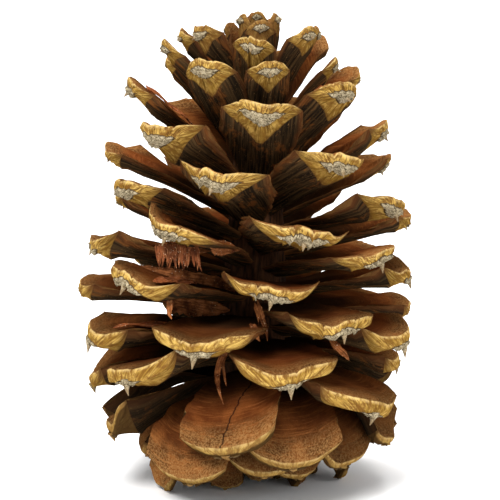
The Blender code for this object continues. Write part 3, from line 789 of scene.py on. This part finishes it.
class Shader:
    """A short way to write a node material."""

    def __init__(self, name, roughness, specular=0.02):
        self.material = bpy.data.materials.new(name)
        self.material.use_nodes = True
        self.tree = self.material.node_tree
        self.surface = self.tree.nodes["Principled BSDF"]
        self.surface.inputs["Roughness"].default_value = roughness
        self.surface.inputs["Specular IOR Level"].default_value = specular

    def put(self, socket, value):
        if isinstance(value, bpy.types.NodeSocket):
            self.tree.links.new(value, socket)
        else:
            socket.default_value = value

    def node(self, kind, inputs=(), **settings):
        node = self.tree.nodes.new(kind)
        for name, value in settings.items():
            setattr(node, name, value)
        for key, value in dict(inputs).items():
            self.put(node.inputs[key], value)
        return node

    def field(self, name):
        return self.node("ShaderNodeAttribute", attribute_name=name).outputs["Vector"]

    def parts(self, vector):
        return self.node("ShaderNodeSeparateXYZ", {0: vector}).outputs

    def math(self, operation, first, second=0.0, third=0.0):
        inputs = {0: first, 1: second, 2: third}
        return self.node("ShaderNodeMath", inputs, operation=operation).outputs[0]

    def times(self, first, second):
        return self.math("MULTIPLY", first, second)

    def noise(self, vector, scale, detail=3.0, roughness=0.55, distortion=0.0):
        inputs = {
            "Vector": vector, "Scale": scale, "Detail": detail, "Roughness": roughness,
            "Distortion": distortion,
        }
        return self.node("ShaderNodeTexNoise", inputs).outputs["Fac"]

    def grain(self, vector, across, along, *settings):
        """Noise with a scale of its own across and along, and apart from the next scale's."""
        factors = {0: vector, 1: (across, along, GRAIN_APART)}
        stretched = self.node("ShaderNodeVectorMath", factors, operation="MULTIPLY").outputs[0]
        return self.noise(stretched, 1.0, *settings)

    def step(self, value, low, high, start=0.0, end=1.0):
        """Goes smoothly from start to end as the value goes from low to high."""
        inputs = {"Value": value, "From Min": low, "From Max": high, "To Min": start, "To Max": end}
        return self.node("ShaderNodeMapRange", inputs, interpolation_type="SMOOTHSTEP").outputs["Result"]

    def near(self, value, middle, reach, strength=1.0):
        """Strength where the value is at its middle, falling to 0 at its reach."""
        away = self.math("ABSOLUTE", self.math("SUBTRACT", value, middle))
        return self.step(away, reach * 0.3, reach, strength, 0.0)

    def mix(self, share, first, second):
        """A mix of two colours."""
        inputs = {0: share, 6: first, 7: second}
        return self.node("ShaderNodeMix", inputs, data_type="RGBA").outputs[2]

    def blend(self, share, first, second):
        """A mix of two numbers."""
        inputs = {0: share, 2: first, 3: second}
        return self.node("ShaderNodeMix", inputs, data_type="FLOAT").outputs[0]

    def finish(self, colour, height, distance):
        self.put(self.surface.inputs["Base Color"], colour)
        node = self.node("ShaderNodeBump", {"Height": height, "Distance": distance, "Strength": 1.0})
        self.put(self.surface.inputs["Normal"], node.outputs[0])
        return self.material


def inner_face(shader, flat, look, rim_distance):
    """Colour and height of the red-brown upper face, paler and speckled near the rim, with painted shade
    further in.
    """
    crack_line, darkness, redness = shader.parts(look)
    patches = shader.grain(flat, 0.12, 0.12, 4.0)
    colour = shader.mix(shader.step(patches, 0.38, 0.64), srgb(72, 39, 18), srgb(122, 72, 34))
    arcs = shader.grain(flat, 0.12, 1.3, 5.0, 0.65, 0.8)
    colour = shader.mix(shader.step(arcs, 0.46, 0.72, 0.0, 0.6), colour, srgb(168, 104, 52))
    grain = shader.noise(flat, 1.9, 5.0, 0.75)
    brick = shader.times(shader.step(rim_distance, -2.0, -10.0), redness)
    colour = shader.mix(shader.times(brick, 0.65), colour, srgb(116, 54, 24))
    pale = shader.times(shader.step(rim_distance, -9.0, -0.5), shader.step(grain, 0.4, 0.62))
    colour = shader.mix(shader.times(pale, 0.75), colour, srgb(166, 124, 74))
    pores = shader.grain(flat, 2.8, 4.2, 4.0, 0.8)
    colour = shader.mix(shader.step(pores, 0.52, 0.64, 0.0, 0.55), colour, srgb(56, 33, 17))
    colour = shader.mix(shader.times(darkness, 0.7), colour, srgb(44, 28, 14))
    # Painted shade: the face darkens deeper in, towards the axis, where the scales above shadow it.
    painted_shade_inward = shader.step(rim_distance, -13.0, -27.0, 0.0, 0.85)
    colour = shader.mix(painted_shade_inward, colour, srgb(38, 26, 16))
    wander = shader.grain(flat, 0.0, 0.35)
    split = shader.near(shader.math("MULTIPLY_ADD", wander, 3.0, crack_line), 1.5, 0.4, 0.85)
    return shader.mix(split, colour, srgb(30, 20, 14)), shader.blend(0.6, arcs, grain)


def tip_face(shader, flat, side, region, seed):
    """Colour and height of the golden tip, with fine wrinkles that run to the umbo, painted shade in its
    grooves and folds, and a painted highlight on its ridges and lip.
    """
    from_keel = shader.math("ABSOLUTE", shader.math("SUBTRACT", region, 1.0))
    closing = shader.math("MULTIPLY_ADD", from_keel, FOLD_CLOSING, 1 - FOLD_CLOSING)
    fan = shader.math("DIVIDE", side, closing)
    lines = shader.node("ShaderNodeCombineXYZ", {0: fan, 1: region, 2: seed}).outputs[0]
    fine = shader.grain(lines, 13.0, 1.2, 5.0, 0.68, 0.5)
    broad = shader.grain(lines, 2.6, 1.6)
    colour = shader.mix(shader.step(broad, 0.36, 0.64), srgb(142, 108, 46), srgb(192, 157, 82))
    # The fine wrinkles: the tip's own darker and paler streaks, with painted shade in their grooves and a
    # painted highlight on their ridges.
    colour = shader.mix(shader.step(fine, 0.54, 0.4, 0.0, 0.85), colour, srgb(104, 70, 28))
    colour = shader.mix(shader.step(fine, 0.58, 0.74, 0.0, 0.7), colour, srgb(220, 188, 116))
    # Painted shade: thin dark lines along the folds, stronger on the upper scales.
    folds = shader.grain(lines, 7.0, 0.5, 3.0, 0.5, 0.6)
    depth = shader.step(seed, 38 * SEED_STEP, 50 * SEED_STEP, 0.35, 0.85)
    painted_fold_shade = shader.times(shader.near(folds, 0.5, 0.028), depth)
    colour = shader.mix(painted_fold_shade, colour, srgb(70, 46, 22))
    stains = shader.noise(flat, 0.55, 6.0, 0.75)
    colour = shader.mix(shader.step(stains, 0.49, 0.6, 0.0, 0.8), colour, srgb(108, 72, 34))
    colour = shader.mix(shader.step(region, 1.0, 1.9, 0.0, 0.5), colour, srgb(112, 82, 30))
    # Painted highlight along the rim's lip, weaker where it is stained.
    lip = shader.times(shader.step(region, 0.3, 0.02, 0.0, 0.6), shader.step(stains, 0.6, 0.45))
    colour = shader.mix(lip, colour, srgb(216, 186, 126))
    brown_edge = shader.step(shader.math("MULTIPLY_ADD", stains, 0.4, region), 1.95, 2.2, 0.0, 0.7)
    colour = shader.mix(brown_edge, colour, srgb(84, 54, 26))
    crown = shader.step(seed, 84 * SEED_STEP, 91 * SEED_STEP, 0.0, 0.6)
    colour = shader.mix(crown, colour, srgb(112, 76, 42))
    corner = shader.step(shader.math("ABSOLUTE", side), 0.8, 1.0, 0.0, 0.8)
    return shader.mix(corner, colour, srgb(98, 62, 38)), fine


def umbo_face(shader, flat, umbo):
    """Colour and height of the weathered grey umbo, split by small dark cracks, with painted shade round
    its edge.
    """
    rough = shader.noise(flat, 1.1, 6.0, 0.75, 0.8)
    colour = shader.mix(shader.step(rough, 0.34, 0.6), srgb(92, 77, 52), srgb(172, 158, 129))
    cracks = shader.noise(flat, 0.6, 3.0, 0.6, 1.2)
    colour = shader.mix(shader.near(cracks, 0.5, 0.035, 0.9), colour, srgb(48, 38, 26))
    # Painted shade in the groove round the umbo's edge.
    colour = shader.mix(shader.near(umbo, 0.2, 0.45, 0.9), colour, srgb(66, 47, 26))
    return shader.mix(shader.step(umbo, 1.2, 1.8, 0.0, 0.7), colour, srgb(130, 106, 76)), rough


def under_face(shader, flat, side):
    """Colour and height of the nearly black underside, with red-brown streaks and edges."""
    fibres = shader.grain(flat, 1.6, 0.07, 5.0, 0.65, 0.3)
    patches = shader.grain(flat, 0.3, 0.14, 5.0, 0.7)
    colour = shader.mix(shader.step(fibres, 0.4, 0.66), srgb(32, 25, 17), srgb(76, 57, 35))
    streaks = shader.step(fibres, 0.36, 0.6, 0.3, 0.85)
    worn = shader.times(shader.step(patches, 0.53, 0.64), streaks)
    colour = shader.mix(worn, colour, srgb(114, 68, 31))
    specks = shader.noise(flat, 2.4, 2.0)
    colour = shader.mix(shader.step(specks, 0.67, 0.73, 0.0, 0.7), colour, srgb(150, 112, 70))
    edge = shader.step(shader.math("ABSOLUTE", side), 0.86, 1.0, 0.0, 0.6)
    return shader.mix(edge, colour, srgb(92, 54, 28)), fibres


def cone_material():
    """The four kinds of surface, joined at ragged lines. The basal scales are plainer and darker: painted
    shade below their rims and on their undersides.
    """
    shader = Shader("cone_surface", 0.85, 0.0)
    side, region, umbo = shader.parts(shader.field("form"))
    flat = shader.field("flat")
    down, seed = shader.parts(flat)[1:3]
    ragged = shader.math("SUBTRACT", shader.noise(flat, 0.8, 4.0), 0.5)
    basal = shader.step(seed, 28.4 * SEED_STEP, 30.6 * SEED_STEP, 0.9, 0.0)

    colour, height = inner_face(shader, flat, shader.field("look"), down)
    tip_colour, tip_height = tip_face(shader, flat, side, region, seed)
    on_tip = shader.step(shader.math("MULTIPLY_ADD", ragged, 0.05, region), -0.01, 0.04)
    tip_colour = shader.mix(shader.times(basal, 0.5), tip_colour, srgb(128, 98, 56))
    # Painted shade on the basal scales' tips below the rim, where the band faces down.
    below = shader.times(shader.step(down, -1.2, -1.9), shader.step(region, 0.1, 0.3))
    tip_colour = shader.mix(shader.times(below, basal), tip_colour, srgb(56, 38, 20))
    colour = shader.mix(on_tip, colour, tip_colour)
    height = shader.blend(on_tip, height, tip_height)

    under_colour, under_height = under_face(shader, flat, side)
    # Painted shade: the basal scales' undersides are darker.
    under_colour = shader.mix(shader.times(basal, 0.75), under_colour, srgb(26, 19, 12))
    on_under = shader.step(shader.math("MULTIPLY_ADD", ragged, 0.06, region), 1.96, 2.0)
    colour = shader.mix(on_under, colour, under_colour)
    height = shader.blend(on_under, height, under_height)

    umbo_colour, umbo_height = umbo_face(shader, flat, umbo)
    edge = shader.math("MULTIPLY_ADD", ragged, 0.4, umbo)
    on_umbo = shader.times(shader.step(edge, 0.02, 0.14), shader.step(umbo, 0.0, 0.1))
    on_umbo = shader.times(on_umbo, shader.math("SUBTRACT", 1.0, basal))
    colour = shader.mix(on_umbo, colour, umbo_colour)
    umbo_height = shader.times(umbo_height, 0.6)
    return shader.finish(colour, shader.blend(on_umbo, height, umbo_height), 0.6 * MM)


def paper_material(name, dark, light):
    """Papery seed wings: veined lengthwise, with dark streaks and resin specks."""
    shader = Shader(name, 0.7)
    flat = shader.field("flat")
    veins = shader.grain(flat, 3.2, 0.22, 4.0, 0.6, 0.5)
    broad = shader.noise(flat, 0.35, 3.0)
    colour = shader.mix(shader.step(broad, 0.35, 0.65), dark, light)
    colour = shader.mix(shader.step(veins, 0.48, 0.64, 0.0, 0.8), colour, srgb(66, 34, 18))
    colour = shader.mix(shader.step(veins, 0.42, 0.3, 0.0, 0.5), colour, srgb(196, 136, 88))
    specks = shader.noise(flat, 2.6, 2.0)
    colour = shader.mix(shader.step(specks, 0.68, 0.74, 0.0, 0.85), colour, srgb(236, 212, 176))
    return shader.finish(colour, veins, 0.3 * MM)


def axis_material():
    """Dry fibrous wood."""
    shader = Shader("axis_wood", 0.8)
    fibres = shader.grain(shader.field("flat"), 0.9, 0.16, 5.0)
    colour = shader.mix(shader.step(fibres, 0.3, 0.7), srgb(30, 20, 14), srgb(74, 46, 28))
    return shader.finish(colour, fibres, 0.4 * MM)


def dress(piece, node=None):
    """Sets what a finished piece rides on, and hides the solid that it stands for, if one is given."""
    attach(piece, "root")
    if node:
        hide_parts(node)


def build_scales(scales, material):
    for name, first, last in SCALE_PIECES:
        group = scales[first : last + 1]
        surfaces = [scale_surface(scale) for scale in group]
        surfaces += [prickle_surface(scale) for scale in group]
        whole = joined(surfaces)
        whole["points"] = stood_up(whole["points"])
        dress(mesh_piece(name, whole, material), "cone")


def build_axis():
    whole = axis_surface()
    whole["points"] = stood_up(whole["points"])
    dress(mesh_piece("axis", whole, axis_material()), "cone")


def build_papery_bits(scales):
    paper = paper_material("seed_wing_paper", srgb(112, 56, 28), srgb(168, 98, 56))
    for name in SEED_WINGS:
        wing = wing_surface(name, scales)
        wing["points"] = stood_up(wing["points"])
        dress(mesh_piece(f"fine_{name}", wing, paper), name)
    tan = paper_material("torn_strip_paper", srgb(82, 44, 23), srgb(160, 98, 56))
    # The fringe's paper is darker than the strips': painted shade under the scale that it hangs from.
    dark = paper_material("torn_fringe_shaded_paper", srgb(62, 32, 18), srgb(116, 64, 37))
    draw = np.random.default_rng(FINE_SEED - 1)
    for name, lines, torn in (("torn_strips", STRIPS, tan), ("torn_fringe", fringe_strands(draw), dark)):
        ribbons = [ribbon_surface(points, width, draw, 0.7 * k) for k, (points, width) in enumerate(lines)]
        dress(mesh_piece(name, joined(ribbons), torn))


def build_floor():
    """A pale sweep: level under the cone, curving up far behind it."""
    half, back, rise, bend, steps = 1.6, 1.2, 1.4, 0.4, 12
    turns = [math.pi / 2 * k / steps for k in range(1, steps + 1)]
    line = [(-half, 0.0), (back, 0.0)]
    line += [(back + bend * math.sin(a), bend - bend * math.cos(a)) for a in turns]
    line.append((back + bend, rise))
    points = [(x, y, z) for y, z in line for x in (-half, half)]
    faces = [(2 * k, 2 * k + 1, 2 * k + 3, 2 * k + 2) for k in range(len(line) - 1)]
    mesh = bpy.data.meshes.new("floor")
    mesh.from_pydata(points, [], faces)
    mesh.shade_smooth()
    shader = Shader("pale_floor", 0.9)
    shader.surface.inputs["Base Color"].default_value = (0.93, 0.93, 0.93, 1.0)
    mesh.materials.append(shader.material)
    added("floor", mesh)


def aim(thing, target):
    thing.rotation_euler = (target - thing.location).to_track_quat("-Z", "Y").to_euler()


def add_camera():
    camera = bpy.data.cameras.new("camera")
    camera.sensor_width = SENSOR_WIDTH
    camera.lens = SENSOR_WIDTH * CAMERA_DISTANCE / CAMERA_WIDTH
    camera.clip_start = 0.01
    holder = added("camera", camera)
    back = Vector((0.0, -math.cos(CAMERA_ELEVATION), math.sin(CAMERA_ELEVATION)))
    holder.location = CAMERA_TARGET + back * CAMERA_DISTANCE
    aim(holder, CAMERA_TARGET)
    bpy.context.scene.camera = holder


def add_lights():
    for name, place, target, size, power in LIGHTS:
        light = bpy.data.lights.new(name, "AREA")
        light.size = size
        light.energy = power
        holder = added(name, light)
        holder.location = place
        aim(holder, Vector(target))
    world = bpy.data.worlds.new("studio")
    world.use_nodes = True
    background = world.node_tree.nodes["Background"]
    background.inputs["Color"].default_value = (1.0, 1.0, 1.0, 1.0)
    background.inputs["Strength"].default_value = WORLD_STRENGTH
    bpy.context.scene.world = world
    bpy.context.scene.view_settings.view_transform = "Standard"


def main():
    add_camera()
    add_lights()
    build_floor()
    draw = random.Random(RANDOM_SEED)
    scales = [Scale(index, draw) for index in range(SCALE_COUNT)]
    build_scales(scales, cone_material())
    build_axis()
    build_papery_bits(scales)


main()
